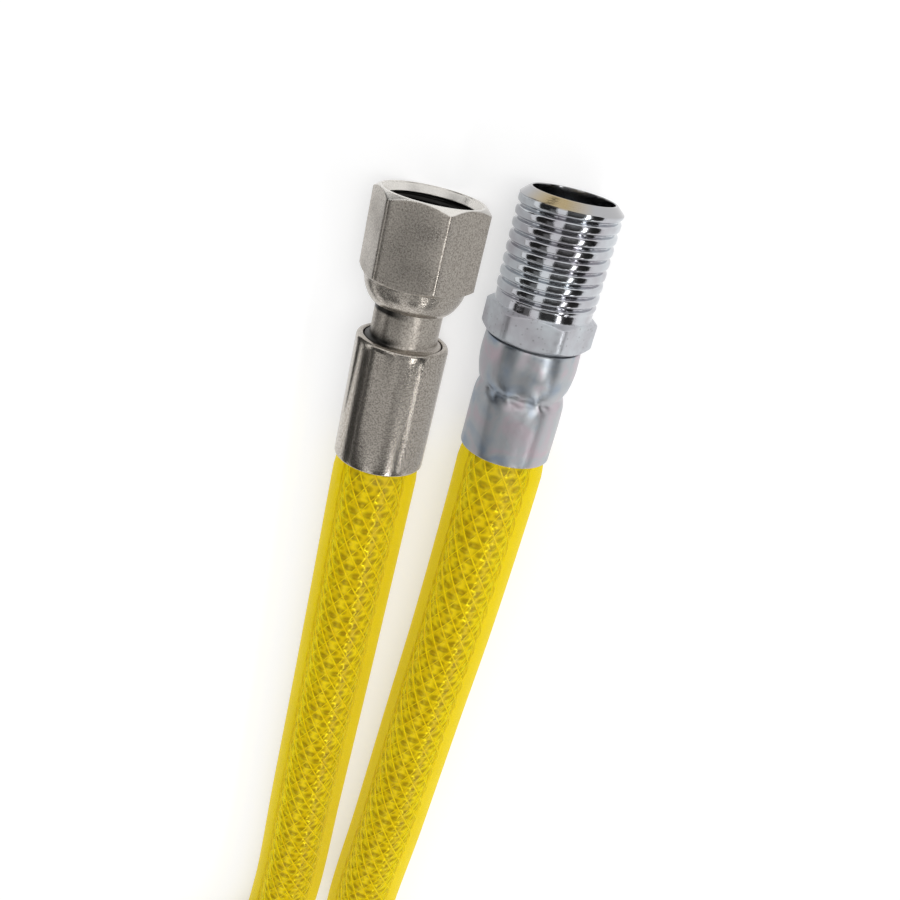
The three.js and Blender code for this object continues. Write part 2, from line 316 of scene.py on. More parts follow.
through = add("ShaderNodeMixShader", {"Fac": cover_body, 1: clear.outputs[0], 2: vinyl.outputs[0]})
cover_output = cover.data.materials[0].node_tree.nodes["Material Output"]
link.new(through.outputs[0], cover_output.inputs["Surface"])

# Hose, inner tube. The tube that carries the gas, seen through the cover. The net's meshes press
# it into rows of small lens-shaped pillows, whose dark ochre colour is painted shade.
tube_radius = 6.4 * mm
tube_step = 0.76 * mm
tube_around = 72
pillows_round = 10
pillow_pitch = 4.3 * mm
pillow_width = 0.45
pillow_height = 0.23
pillow_depth = 0.28 * mm


def pillow_rows(run, angle):
    """Height of the nearest pillow, on two staggered grids: 1 less its squared distance, counted
    in pillow widths round the tube and pillow heights along it."""
    round_share = angle * pillows_round / (2 * np.pi)
    run_share = run / pillow_pitch
    heights = [
        1
        - (((round_share + shift) % 1 - 0.5) / pillow_width) ** 2
        - (((run_share + shift) % 1 - 0.5) / pillow_height) ** 2
        for shift in (0, 0.5)
    ]
    return np.clip(np.maximum(*heights), 0, 1)


inner_tube = closed_tube(
    "hose_inner_tube",
    tube_step,
    tube_around,
    lambda run, angle: squeezed(tube_radius, run) + pillow_depth * pillow_rows(run, angle),
)
lining, add, link = fill_material("yellow inner tube", "clear_yellow", inner_tube)
surface_uv = add("ShaderNodeUVMap", uv_map="surface").outputs["UV"]
place = add("ShaderNodeTexCoord").outputs["Object"]
scaled = add(
    "ShaderNodeVectorMath",
    {0: surface_uv, 1: (pillows_round, 1 / pillow_pitch, 0)},
    operation="MULTIPLY",
).outputs[0]
wobble = add("ShaderNodeTexNoise", {"Vector": place, "Scale": 260.0, "Detail": 1.0}).outputs["Color"]
wobble = add("ShaderNodeVectorMath", {0: wobble, 1: (0.5, 0.5, 0.5)}, operation="SUBTRACT").outputs[0]
wobble = add("ShaderNodeVectorMath", {0: wobble, 1: (0.16, 0.10, 0)}, operation="MULTIPLY").outputs[0]
scaled = add("ShaderNodeVectorMath", {0: scaled, 1: wobble}, operation="ADD").outputs[0]
spans = []
for shift in (0.0, 0.5):
    cell = add("ShaderNodeVectorMath", {0: scaled, 1: (shift, shift, 0)}, operation="ADD").outputs[0]
    cell = add("ShaderNodeVectorMath", {0: cell}, operation="FRACTION").outputs[0]
    cell = add("ShaderNodeVectorMath", {0: cell, 1: (0.5, 0.5, 0)}, operation="SUBTRACT").outputs[0]
    cell = add(
        "ShaderNodeVectorMath",
        {0: cell, 1: (1 / pillow_width, 1 / pillow_height, 0)},
        operation="MULTIPLY",
    ).outputs[0]
    spans.append(add("ShaderNodeVectorMath", {0: cell}, operation="LENGTH").outputs["Value"])
nearest = add("ShaderNodeMath", {0: spans[0], 1: spans[1]}, operation="MINIMUM").outputs[0]
# Painted shade: the pillows are dark ochre and the tube between them is pale yellow.
pillow_painted_shade = two_tones(add, nearest, 0.5, (0.42, 0.28, 0.003), 1.0, (0.88, 0.76, 0.02))
rise = add(
    "ShaderNodeMapRange",
    {0: nearest, 1: 0.1, 2: 1.15, 3: 1.0, 4: 0.0},
    interpolation_type="SMOOTHSTEP",
)
swell = add("ShaderNodeBump", {"Height": rise.outputs[0], "Strength": 1.0, "Distance": 0.0009})
link.new(pillow_painted_shade, lining.inputs["Base Color"])
link.new(swell.outputs["Normal"], lining.inputs["Normal"])
lining.inputs["Roughness"].default_value = 0.16
lining.inputs["Coat Weight"].default_value = 1.0
lining.inputs["Coat Roughness"].default_value = 0.15
lining.inputs["Coat IOR"].default_value = 2.2

# Hose, net. Two dozen polyester yarns, twelve wound each way, lie in the vinyl between the tube
# and the cover. They are paler than the vinyl and catch the light as thin crossed lines.
yarns_each_way = 12
yarn_lead = 72 * mm
yarn_step = 1.6 * mm
yarn_sides = 6


def yarn_net(name, layer_radius, way, half_width, half_height):
    """Yarns wound one way: each runs along centre + radius * (cos a * aside + sin a * above), its
    angle a growing by one turn a lead, and is a small flattened tube with pointed ends."""
    centre, run = hose_line(yarn_step)
    aside, above = across_route(centre)
    start = np.arange(yarns_each_way)[:, None] * 2 * np.pi / yarns_each_way
    angle = start + way * 2 * np.pi * run[None, :] / yarn_lead
    outward = np.cos(angle)[..., None] * aside + np.sin(angle)[..., None] * above
    path = centre + squeezed(layer_radius, run)[None, :, None] * outward
    ahead = np.gradient(path, axis=1)
    ahead /= np.linalg.norm(ahead, axis=2)[..., None]
    flank = np.cross(outward, ahead)
    corner = np.linspace(0, 2 * np.pi, yarn_sides, endpoint=False)[:, None]
    taper = np.ones((1, len(run), 1, 1))
    taper[:, [0, -1]] = 0
    ring = half_width * np.cos(corner) * flank[:, :, None]
    ring = ring + half_height * np.sin(corner) * outward[:, :, None]
    points = path[:, :, None] + taper * ring
    quads = ring_quads(len(run), yarn_sides, closed=False)
    first = np.arange(yarns_each_way)[:, None, None] * len(run) * yarn_sides
    return quad_mesh(name, points.reshape(-1, 3), (quads[None] + first).reshape(-1, 4))


net_over = yarn_net("hose_net_over", 7.25 * mm, -1, 0.20 * mm, 0.17 * mm)
net_under = yarn_net("hose_net_under", 6.95 * mm, 1, 0.11 * mm, 0.11 * mm)
yarn, add, link = fill_material("pale polyester yarn", "clear_yellow", net_over, net_under)
place = add("ShaderNodeTexCoord").outputs["Object"]
fleck = add("ShaderNodeTexNoise", {"Vector": place, "Scale": 700.0, "Detail": 2.0}).outputs["Fac"]
yarn_tint = two_tones(add, fleck, 0.35, (0.86, 0.66, 0.05), 0.6, (1.0, 0.92, 0.35))
link.new(yarn_tint, yarn.inputs["Base Color"])
yarn.inputs["Roughness"].default_value = 0.25
yarn.inputs["Coat Weight"].default_value = 0.5

for piece in (cover, inner_tube, net_over, net_under):
    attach(piece, "hose_assembly")
    piece.visible_glossy = False
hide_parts("hose")

# Swivel nut. A 22 mm hexagon nut of nickel plated steel, turned and threaded inside, with a wide
# countersink at its mouth and a bowl-shaped skirt that holds the collar of the stem.
nut_flats = 22 * mm
nut_corner = 12.5 * mm
nut_thread_pitch = 1.9 * mm
nut_thread_depth = 0.75 * mm
nut_thread_from, nut_thread_to = 45.9 * mm, 57.4 * mm
nut_wall_starts = 9.4 * mm
edge_blunt = 0.08 * mm
corner_blunt = 0.2 * mm
least_gap = 0.02 * mm


def closed_outline(corners):
    """Closed outline from rows of radius, place, corner bend and spacing, in mm. Each corner is a
    short parabola that starts and ends its bend away, and the side after it has points a spacing
    apart, so that a thread or a groove has enough of them."""
    rows = np.array(corners) * mm
    corner, bend, spacing = rows[:, :2], rows[:, 2:3], rows[:, 3]
    back, fore = np.roll(corner, 1, axis=0) - corner, np.roll(corner, -1, axis=0) - corner
    enter = corner + bend * back / np.linalg.norm(back, axis=1)[:, None]
    leave = corner + bend * fore / np.linalg.norm(fore, axis=1)[:, None]
    share = np.linspace(0, 1, 5)[None, :, None]
    enter, middle, leave = enter[:, None], corner[:, None], leave[:, None]
    arcs = (1 - share) ** 2 * enter + 2 * share * (1 - share) * middle + share**2 * leave
    line = np.vstack([arcs.reshape(-1, 2), arcs[0, :1]])
    run = np.concatenate([[0], np.cumsum(np.linalg.norm(np.diff(line, axis=0), axis=1))])
    starts, stops = run[4::5], run[5::5]
    sides = [
        np.linspace(start, stop, max(2, int(np.ceil((stop - start) / gap)) + 1))
        for start, stop, gap in zip(starts, stops, spacing)
    ]
    places = np.unique(np.round(np.concatenate([run[:-1], *sides]), 7))
    places = places[places < run[-1] - least_gap]
    places = places[np.diff(places, prepend=-1) > least_gap]
    return np.stack([np.interp(places, run, line[:, axis]) for axis in range(2)], axis=1)


def turned_piece(name, axis_place, corners, around, reshape=None):
    """The outline carried round +Y: point = place + (r cos t, along, -r sin t), for the angle t
    and the radius r, which reshape first changes."""
    outline = closed_outline(corners)
    angle = np.linspace(0, 2 * np.pi, around, endpoint=False)[None, :]
    radius = outline[:, :1] * np.ones_like(angle)
    along = outline[:, 1:] * np.ones_like(angle)
    if reshape:
        radius = reshape(radius, along, angle * np.ones_like(radius))
    points = np.stack([radius * np.cos(angle), along, -radius * np.sin(angle)], axis=-1)
    points = (points + axis_place).reshape(-1, 3)
    return quad_mesh(name, points, ring_quads(len(outline), around, closed=True))


def soft_least(a, b, softness):
    """The smaller of two lengths, rounded where they meet: half of their sum less the root of
    their squared difference plus the squared softness."""
    return (a + b - np.sqrt((a - b) ** 2 + softness**2)) / 2


def hexagon_reach(angle, flats, corner):
    """Distance from the axis to a hexagon: half the flats over the cosine of the angle from the
    nearest flat's middle, no more than the corner radius."""
    off = angle % (np.pi / 3) - np.pi / 6
    return soft_least(flats / 2 / np.cos(off), corner, corner_blunt)


def thread_wave(along, angle, start, pitch, flatness):
    """0 in the grooves and 1 on the crests of a right-hand thread: 1 less a power of the share of
    the way from crest to groove. The place moves by one pitch for each turn."""
    turns = (along - start) / pitch - angle / (2 * np.pi)
    return 1 - (2 * np.abs((turns + 0.5) % 1 - 0.5)) ** flatness


def shape_nut(radius, along, angle):
    """Hexagon outside, right-hand thread inside."""
    in_thread = (radius < nut_wall_starts) & (along > nut_thread_from) & (along < nut_thread_to)
    wave = thread_wave(along, angle, nut_thread_from, nut_thread_pitch, 2)
    groove = nut_thread_depth * (1 - wave)
    return np.where(
        in_thread,
        radius + groove,
        soft_least(radius, hexagon_reach(angle, nut_flats, nut_corner), edge_blunt),
    )


nut = turned_piece(
    "nut_body",
    swivel_place,
    [
        (7.8, 36.0, 0.1, 1.0),
        (8.2, 36.0, 0.2, 0.3),
        (9.2, 37.0, 0.7, 0.3),
        (10.3, 39.0, 1.0, 0.3),
        (10.85, 41.1, 0.3, 0.2),
        (11.0, 41.4, 0.15, 0.1),
        (12.8, 42.35, 0.05, 1.2),
        (12.8, 57.75, 0.05, 0.1),
        (10.9, 59.15, 0.15, 0.2),
        (10.4, 59.15, 0.05, 0.2),
        (10.35, 58.9, 0.05, 0.2),
        (10.1, 58.85, 0.05, 0.4),
        (9.3, 57.5, 0.05, 0.16),
        (9.1, 45.9, 0.1, 0.5),
        (9.6, 45.4, 0.1, 1.0),
        (9.6, 39.4, 0.2, 0.5),
        (7.8, 37.6, 0.2, 0.5),
    ],
    300,
    shape_nut,
)


def satin_nickel(name, piece, metallic, smoothest, roughest):
    """Satin nickel plate: grey with a warm tint and fine darker specks, which are also its pits,
    and a roughness that varies in clouds."""
    metal, add, link = fill_material(name, "nickel_steel", piece)
    place = add("ShaderNodeTexCoord").outputs["Object"]
    grain = add("ShaderNodeTexNoise", {"Vector": place, "Scale": 3000.0, "Detail": 3.0}).outputs["Fac"]
    cloud = add("ShaderNodeTexNoise", {"Vector": place, "Scale": 170.0, "Detail": 4.0}).outputs["Fac"]
    tone = two_tones(add, grain, 0.36, (0.315, 0.28, 0.245), 0.58, (0.56, 0.52, 0.465))
    haze = fade(add, cloud, (0.3, 0.7), smoothest, roughest)
    pits = add("ShaderNodeBump", {"Height": grain, "Strength": 0.4, "Distance": 0.00006})
    link.new(tone, metal.inputs["Base Color"])
    link.new(haze, metal.inputs["Roughness"])
    link.new(pits.outputs["Normal"], metal.inputs["Normal"])
    metal.inputs["Metallic"].default_value = metallic
    return metal, add, link, place, tone


def paint_shade(metal, add, link, tone, share):
    """Mixes a near-black painted shade over the plate where the share is 1."""
    painted_dark = add("ShaderNodeMix", {"Factor": share, 7: (0.02, 0.019, 0.018, 1)}, data_type="RGBA")
    link.new(tone, painted_dark.inputs[6])
    link.new(painted_dark.outputs[2], metal.inputs["Base Color"])


# The bore is painted near-black, a painted shade. The mouth and the chamfer are painted paler, a
# painted highlight. The skirt is turned after the bar was drawn, so it is smoother than the flats.
# Places are along Y or off the axis.
bore_rim = (10.0 * mm, 10.2 * mm)
bore_shade_starts, bore_shade_stops = (12.2 * mm, 12.5 * mm), (24.2 * mm, 24.5 * mm)
top_rim, top_starts = (10.8 * mm, 10.9 * mm), (24.2 * mm, 24.4 * mm)
chamfer_slope, chamfer_starts = 1.357, (46.17 * mm, 46.31 * mm)
skirt_stops = (8.2 * mm, 8.7 * mm)
highlight_strength = 0.7
skirt_smoother = 0.08
metal, add, link, place, tone = satin_nickel("satin nickel of the nut", nut, 0.85, 0.24, 0.36)
axis_x, _, axis_z = (float(value) for value in swivel_place)
flat_place = add("ShaderNodeVectorMath", {0: place, 1: (1, 0, 1)}, operation="MULTIPLY").outputs[0]
off_axis = add(
    "ShaderNodeVectorMath",
    {0: flat_place, 1: (axis_x, 0, axis_z)},
    operation="DISTANCE",
).outputs["Value"]
along_nut = add("ShaderNodeSeparateXYZ", {"Vector": place}).outputs["Y"]
# Painted shade: near-black inside the bore, along its threaded part.
bore_shade = fade(add, off_axis, bore_rim, 1.0, 0.0)
bore_shade = fade(add, along_nut, bore_shade_starts, 0.0, bore_shade)
bore_shade = fade(add, along_nut, bore_shade_stops, bore_shade, 0.0)
on_top = fade(add, off_axis, top_rim, 1.0, 0.0)
on_top = fade(add, along_nut, top_starts, 0.0, on_top)
slope = add(
    "ShaderNodeMath",
    {0: along_nut, 1: chamfer_slope, 2: off_axis},
    operation="MULTIPLY_ADD",
).outputs[0]
on_chamfer = fade(add, slope, chamfer_starts, 0.0, 1.0)
# Painted highlight: the mouth and the chamfer are mixed towards a pale colour.
highlight_share = add("ShaderNodeMath", {0: on_top, 1: on_chamfer}, operation="MAXIMUM").outputs[0]
highlight_share = add("ShaderNodeMath", {0: highlight_share, 1: highlight_strength}, operation="MULTIPLY").outputs[0]
painted_highlight = add("ShaderNodeMix", {"Factor": highlight_share, 7: (0.90, 0.88, 0.84, 1)}, data_type="RGBA")
link.new(tone, painted_highlight.inputs[6])
paint_shade(metal, add, link, painted_highlight.outputs[2], bore_shade)
on_skirt = fade(add, along_nut, skirt_stops, 1.0, 0.0)
nut_haze = metal.inputs["Roughness"].links[0].from_socket
nut_haze = add(
    "ShaderNodeMath",
    {0: on_skirt, 1: -skirt_smoother, 2: nut_haze},
    operation="MULTIPLY_ADD",
).outputs[0]
link.new(nut_haze, metal.inputs["Roughness"])
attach(nut, "nut")
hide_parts("swivel_nut")

# Sealing washer. A flat ring of dark pressed fibre that lies on the collar inside the nut. The
# pipe end is drawn down on it by the nut.
washer = turned_piece(
    "washer_ring",
    swivel_place,
    [
        (5.5, 42.22, 0.15, 0.8),
        (8.8, 42.22, 0.2, 0.8),
        (8.8, 44.22, 0.2, 0.8),
        (5.5, 44.22, 0.15, 0.8),
    ],
    120,
)
fibre, add, link = fill_material("dark pressed fibre", "washer_fibre", washer)
place = add("ShaderNodeTexCoord").outputs["Object"]
strand = add("ShaderNodeTexNoise", {"Vector": place, "Scale": 1500.0, "Detail": 4.0}).outputs["Fac"]
fibre_tone = two_tones(add, strand, 0.35, (0.022, 0.02, 0.018), 0.7, (0.075, 0.07, 0.062))
felt = add("ShaderNodeBump", {"Height": strand, "Strength": 0.5, "Distance": 0.0001})
link.new(fibre_tone, fibre.inputs["Base Color"])
link.new(felt.outputs["Normal"], fibre.inputs["Normal"])
fibre.inputs["Roughness"].default_value = 0.75
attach(washer, "washer")
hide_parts("sealing_washer")

# Swivel stem. Turned from steel bar and nickel plated. The nut slides on its bare neck and bears
# on its collar, and its barbed tail is pressed into the hose.
barb_starts = 3.0 + 4.5 * np.arange(5)
barb_rows = [
    row
    for start in barb_starts.tolist()
    for row in ((5.55, start, 0.1, 1.5), (6.05, start + 4.4, 0.08, 0.5))
]
swivel_stem = turned_piece(
    "swivel_stem_body",
    swivel_place,
    [
        (4.4, 1.5, 0.1, 0.5),
        (5.3, 1.5, 0.2, 0.5),
        *barb_rows,
        (5.55, 25.5, 0.1, 1.0),
        (8.3, 25.5, 0.1, 1.0),
        (8.35, 28.35, 0.25, 0.5),
        (7.3, 28.35, 0.8, 1.0),
        (7.3, 37.52, 0.3, 0.5),
        (8.7, 38.92, 0.2, 0.8),
        (8.7, 41.92, 0.2, 0.8),
        (4.4, 41.92, 0.3, 2.0),
    ],
    192,
)
# Painted shade: the plate is mixed to near-black in the gap under the skirt and in the ferrule's
# mouth, on the side turned away from the male end, where shade falls.
shaded_side = (-15.0 * mm, -11.0 * mm)
under_skirt_starts = (1.3 * mm, 1.8 * mm)
mouth_stops = (-4.0 * mm, -2.2 * mm)
metal, add, link, place, tone = satin_nickel(
    "satin nickel of the stem", swivel_stem, 0.93, 0.26, 0.38
)
parts = add("ShaderNodeSeparateXYZ", {"Vector": place}).outputs
# Painted shade: near-black on the side away from the male end, under the skirt and in the mouth.
left_side = fade(add, parts["X"], shaded_side, 0.97, 0.0)
under_skirt = fade(add, parts["Y"], under_skirt_starts, 0.0, left_side)
recess_shade = fade(add, parts["Y"], mouth_stops, left_side, under_skirt)
paint_shade(metal, add, link, tone, recess_shade)
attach(swivel_stem, "hose_assembly")
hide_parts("swivel_stem")

# Swivel ferrule. A plain sleeve of nickel plated steel, pressed on the hose by jaws that leave
# faint flats along it. Its upper edge is rolled in over the shoulder of the stem.
jaw_marks = 10
jaw_depth = 0.035 * mm
jaw_turn = 0.6
sleeve_outside = 9.6 * mm


def press_flats(radius, along, angle):
    """Faint flats along the outside: the radius less the jaw depth times a raised cosine of the
    angle, ten times round."""
    pressed = 0.5 - 0.5 * np.cos(jaw_marks * angle + jaw_turn)
    return radius - jaw_depth * pressed * (radius > sleeve_outside)


swivel_ferrule = turned_piece(
    "swivel_ferrule_sleeve",
    swivel_place,
    [
        (9.1, 0.0, 0.25, 0.5),
        (10.1, 0.0, 0.3, 1.0),
        (10.1, 28.5, 1.1, 0.3),
        (8.6, 28.5, 0.35, 0.4),
        (8.6, 27.1, 0.2, 0.4),
        (9.1, 26.9, 0.2, 2.0),
    ],
    240,
    press_flats,
)
satin_nickel("satin nickel of the sleeve", swivel_ferrule, 0.92, 0.12, 0.2)
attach(swivel_ferrule, "hose_assembly")
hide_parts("swivel_ferrule")

# Male stem. Turned from hexagon bar and chrome plated: a barbed tail, a shoulder, a 21 mm hexagon
# and a right-hand gas thread with round crests, which ends under a bevelled rim.
male_flats = 21 * mm
male_corner = 11.75 * mm
thread_root, thread_crest = 9.4 * mm, 10.5 * mm
collar_radius = 10.2 * mm
male_thread_from, male_thread_to = 34.2 * mm, 53.4 * mm
male_thread_pitch = 2.44 * mm
first_crest = male_thread_from + 0.37 * mm
crest_flatness = 3.6
collar_run_out, rim_run_out = 0.9 * mm, 0.5 * mm
stem_outside = 9.3 * mm


def shape_male(radius, along, angle):
    """Hexagon below and thread above: root plus the thread wave times crest less root. The thread
    grows out of the plain collar and ends in the full rim."""
    outside = radius > stem_outside
    wave = thread_wave(along, angle, first_crest, male_thread_pitch, crest_flatness)
    into_rim = np.clip((along - male_thread_to) / rim_run_out, 0, 1)
    thread = thread_root + (thread_crest - thread_root) * np.maximum(wave, into_rim)
    grown = np.clip((along - male_thread_from) / collar_run_out, 0, 1)
    threaded = np.minimum(radius, collar_radius + (thread - collar_radius) * grown)
    hexed = soft_least(radius, hexagon_reach(angle, male_flats, male_corner), edge_blunt)
    shaped = np.where(along > male_thread_from, threaded, hexed)
    return np.where(outside, shaped, radius)


male_stem = turned_piece(
    "male_stem_body",
    male_place,
    [
        (4.4, 1.5, 0.1, 0.5),
        (5.3, 1.5, 0.2, 0.5),
        *barb_rows[:8],
        (5.55, 22.5, 0.1, 1.0),
        (8.6, 22.5, 0.1, 1.0),
        (8.6, 26.0, 0.15, 0.5),
        (10.4, 26.0, 0.1, 0.1),
        (11.8, 26.95, 0.05, 1.2),
        (11.8, 31.6, 0.05, 0.1),
        (10.2, 32.5, 0.2, 0.3),
        (10.2, 34.15, 0.02, 0.2),
        (10.5, 34.3, 0.02, 0.13),
        (10.5, 54.0, 0.12, 0.13),
        (8.75, 55.53, 0.15, 0.2),
        (8.3, 55.53, 0.15, 0.8),
        (8.3, 36.53, 0.3, 0.8),
        (4.4, 32.53, 0.3, 2.5),
    ],
    240,
    shape_male,
)
# The thread and rim are turned bright, and the hexagon keeps the bar's dull skin with small pits.
# The rim has a straw-coloured tint from the heat of the cut.
thread_starts = (9.9 * mm, 10.3 * mm)
rim_starts = (31.2 * mm, 31.6 * mm)
tint_middle = (11.5 * mm, 32.5 * mm, 20.5 * mm)
tint_reach = (2.0 * mm, 7.5 * mm)
chrome, add, link = fill_material("bright turned chrome", "bright_chrome", male_stem)
place = add("ShaderNodeTexCoord").outputs["Object"]
turning = add("ShaderNodeMapping", {"Vector": place, "Scale": (60, 6000, 60)}).outputs[0]
turning = add("ShaderNodeTexNoise", {"Vector": turning, "Scale": 1.0, "Detail": 2.0}).outputs["Fac"]
pitting = add("ShaderNodeTexNoise", {"Vector": place, "Scale": 1500.0, "Detail": 3.0}).outputs["Fac"]
stain = add("ShaderNodeTexNoise", {"Vector": place, "Scale": 130.0, "Detail": 3.0}).outputs["Fac"]
chrome_tone = two_tones(add, stain, 0.36, (0.45, 0.44, 0.47), 0.6, (0.57, 0.60, 0.63))
along_stem = add("ShaderNodeSeparateXYZ", {"Vector": place}).outputs["Y"]
on_thread = fade(add, along_stem, thread_starts, 0.0, 1.0)
chrome_haze = fade(add, pitting, (0.3, 0.7), 0.32, 0.5)
chrome_haze = add("ShaderNodeMapRange", {0: on_thread, 3: chrome_haze, 4: 0.12}).outputs[0]
chrome_bump = add("ShaderNodeBump", {"Height": turning, "Strength": 0.2, "Distance": 0.00004})
chrome_pits = add("ShaderNodeBump", {"Height": pitting, "Strength": 0.25, "Distance": 0.00005})
link.new(chrome_bump.outputs["Normal"], chrome_pits.inputs["Normal"])
rim_spot = add(
    "ShaderNodeVectorMath",
    {0: place, 1: tint_middle},
    operation="DISTANCE",
).outputs["Value"]
rim_spot = fade(add, rim_spot, tint_reach, 0.85, 0.0)
on_rim = fade(add, along_stem, rim_starts, 0.0, 1.0)
rim_tone = add("ShaderNodeMix", {"Factor": on_rim, 7: (0.40, 0.40, 0.41, 1)}, data_type="RGBA")
link.new(chrome_tone, rim_tone.inputs[6])
rim_spot = add("ShaderNodeMath", {0: on_rim, 1: rim_spot}, operation="MULTIPLY").outputs[0]
heat_tint = add("ShaderNodeMix", {"Factor": rim_spot, 7: (0.42, 0.32, 0.15, 1)}, data_type="RGBA")
link.new(rim_tone.outputs[2], heat_tint.inputs[6])
dots = add("ShaderNodeTexVoronoi", {"Vector": place, "Scale": 900.0}).outputs["Distance"]
dots = fade(add, dots, (0.10, 0.22), 0.45, 0.0)
dots = add("ShaderNodeMapRange", {0: on_thread, 3: dots, 4: 0.0}).outputs[0]
pocked = add("ShaderNodeMix", {"Factor": dots, 7: (0.16, 0.155, 0.15, 1)}, data_type="RGBA")
link.new(heat_tint.outputs[2], pocked.inputs[6])
link.new(pocked.outputs[2], chrome.inputs["Base Color"])
link.new(chrome_haze, chrome.inputs["Roughness"])
link.new(chrome_pits.outputs["Normal"], chrome.inputs["Normal"])
chrome_body = add("ShaderNodeMapRange", {0: on_thread, 3: 0.93, 4: 1.0}).outputs[0]
link.new(chrome_body, chrome.inputs["Metallic"])
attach(male_stem, "hose_assembly")
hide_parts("male_stem")

# Male ferrule. A sleeve of bright zinc plated steel. A roller pressed the waist into it after the
# hose was in, and left the groove uneven and creased.
waist_place = 14.9 * mm
waist_depth = 0.95 * mm


def roll_waist(radius, along, angle):
    """The outer radius less a waist: a depth times a pointed bell curve, whose place, depth and
    width waver round the sleeve, with small slanting folds beside it and a slight sway all over."""
    place = waist_place + (0.35 * np.sin(2 * angle + 0.9) + 0.22 * np.sin(5 * angle + 2.0)) * mm
    depth = waist_depth * (1 + 0.16 * np.sin(3 * angle + 0.5) + 0.10 * np.sin(8 * angle))
    width = (1.3 + 0.2 * np.sin(4 * angle + 1.0)) * mm
    bell = np.exp(-np.sqrt((along - place) ** 2 + (0.25 * mm) ** 2) / width) * 1.2
    fold_bell = np.exp(-(((along - place) / (1.2 * mm)) ** 2))
    folds = 0.17 * mm * np.sin(13 * angle + 1500 * (along - place)) * np.sin(5 * angle + 3.1)
    sway = 0.05 * mm * np.sin(3 * angle + 200 * along)
    outside = radius > 9.5 * mm
    return np.where(outside, radius - depth * bell + folds * fold_bell + sway, radius)


male_ferrule = turned_piece(
    "male_ferrule_sleeve",
    male_place,
    [
        (9.1, 0.0, 0.2, 0.5),
        (9.85, 0.0, 0.3, 1.0),
        (9.85, 11.0, 1.0, 0.25),
        (9.95, 14.9, 1.0, 0.25),
        (10.1, 17.5, 1.0, 0.5),
        (10.4, 21.0, 1.5, 0.5),
        (10.15, 25.5, 0.45, 0.3),
        (8.9, 25.5, 0.2, 0.5),
        (8.9, 24.1, 0.2, 0.5),
        (9.3, 23.6, 0.4, 1.0),
        (9.3, 17.0, 1.0, 1.0),
        (8.2, 14.9, 1.0, 1.0),
        (9.1, 12.5, 1.0, 2.0),
    ],
    240,
    roll_waist,
)
zinc, add, link = fill_material("rolled zinc plate", "zinc_steel", male_ferrule)
place = add("ShaderNodeTexCoord").outputs["Object"]
grain = add("ShaderNodeTexNoise", {"Vector": place, "Scale": 1700.0, "Detail": 3.0}).outputs["Fac"]
bloom = add(
    "ShaderNodeTexNoise",
    {"Vector": place, "Scale": 150.0, "Detail": 3.0, "Distortion": 0.6},
).outputs["Fac"]
zinc_tone = add("ShaderNodeValToRGB", {"Fac": bloom})
zinc_tone.color_ramp.elements[0].position = 0.32
zinc_tone.color_ramp.elements[0].color = (0.32, 0.38, 0.46, 1)
zinc_tone.color_ramp.elements[1].position = 0.68
zinc_tone.color_ramp.elements[1].color = (0.52, 0.44, 0.48, 1)
middle_tone = zinc_tone.color_ramp.elements.new(0.5)
middle_tone.color = (0.45, 0.47, 0.49, 1)
zinc_haze = fade(add, grain, (0.3, 0.7), 0.29, 0.37)
zinc_pits = add("ShaderNodeBump", {"Height": grain, "Strength": 0.06, "Distance": 0.00004})
link.new(zinc_tone.outputs["Color"], zinc.inputs["Base Color"])
link.new(zinc_haze, zinc.inputs["Roughness"])
link.new(zinc_pits.outputs["Normal"], zinc.inputs["Normal"])
zinc.inputs["Metallic"].default_value = 1.0
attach(male_ferrule, "hose_assembly")
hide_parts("male_ferrule")

# Floor. A plain white table top under the hose. Seen directly, mirrored or through the vinyl it
# is lifted to white, and it keeps the shadow that the hose throws.
floor_half = 12.0
floor_cells = 4
floor_across = np.linspace(-floor_half, floor_half, floor_cells + 1)


def flat_quads(rows, columns):
    """Faces of an open grid of rows by columns cells: each joins a point with its neighbours."""
    k, j = np.meshgrid(np.arange(rows), np.arange(columns), indexing="ij")
    near, far = k * (columns + 1) + j, (k + 1) * (columns + 1) + j
    return np.stack([near, near + 1, far + 1, far], axis=-1).reshape(-1, 4)


floor_x, floor_y = np.meshgrid(floor_across, floor_across, indexing="ij")
floor_points = np.stack([floor_x, floor_y, np.zeros_like(floor_x)], axis=-1).reshape(-1, 3)
floor_quads = flat_quads(floor_cells, floor_cells)[:, ::-1]
floor = quad_mesh("floor", floor_points, floor_quads)
floor_material = bpy.data.materials.new("white table top")
floor_material.use_nodes = True
floor.data.materials.append(floor_material)


def seen_directly(tree):
    """1 for camera, mirror and see-through rays, 0 for the light that falls on things."""
    rays = tree.nodes.new("ShaderNodeLightPath")
    most = rays.outputs["Is Camera Ray"]
    for name in ("Is Glossy Ray", "Is Transmission Ray"):
        larger = tree.nodes.new("ShaderNodeMath")
        larger.operation = "MAXIMUM"
        tree.links.new(most, larger.inputs[0])
        tree.links.new(rays.outputs[name], larger.inputs[1])
        most = larger.outputs[0]
    return most


floor_tree = floor_material.node_tree
floor_surface = floor_tree.nodes["Principled BSDF"]
floor_surface.inputs["Base Color"].default_value = (0.62, 0.62, 0.62, 1)
floor_surface.inputs["Roughness"].default_value = 0.9
floor_surface.inputs["Specular IOR Level"].default_value = 0.1
floor_surface.inputs["Emission Color"].default_value = (1, 1, 1, 1)
lift = floor_tree.nodes.new("ShaderNodeMath")
lift.operation = "MULTIPLY"
lift.inputs[1].default_value = 0.48
floor_tree.links.new(seen_directly(floor_tree), lift.inputs[0])
floor_tree.links.new(lift.outputs[0], floor_surface.inputs["Emission Strength"])

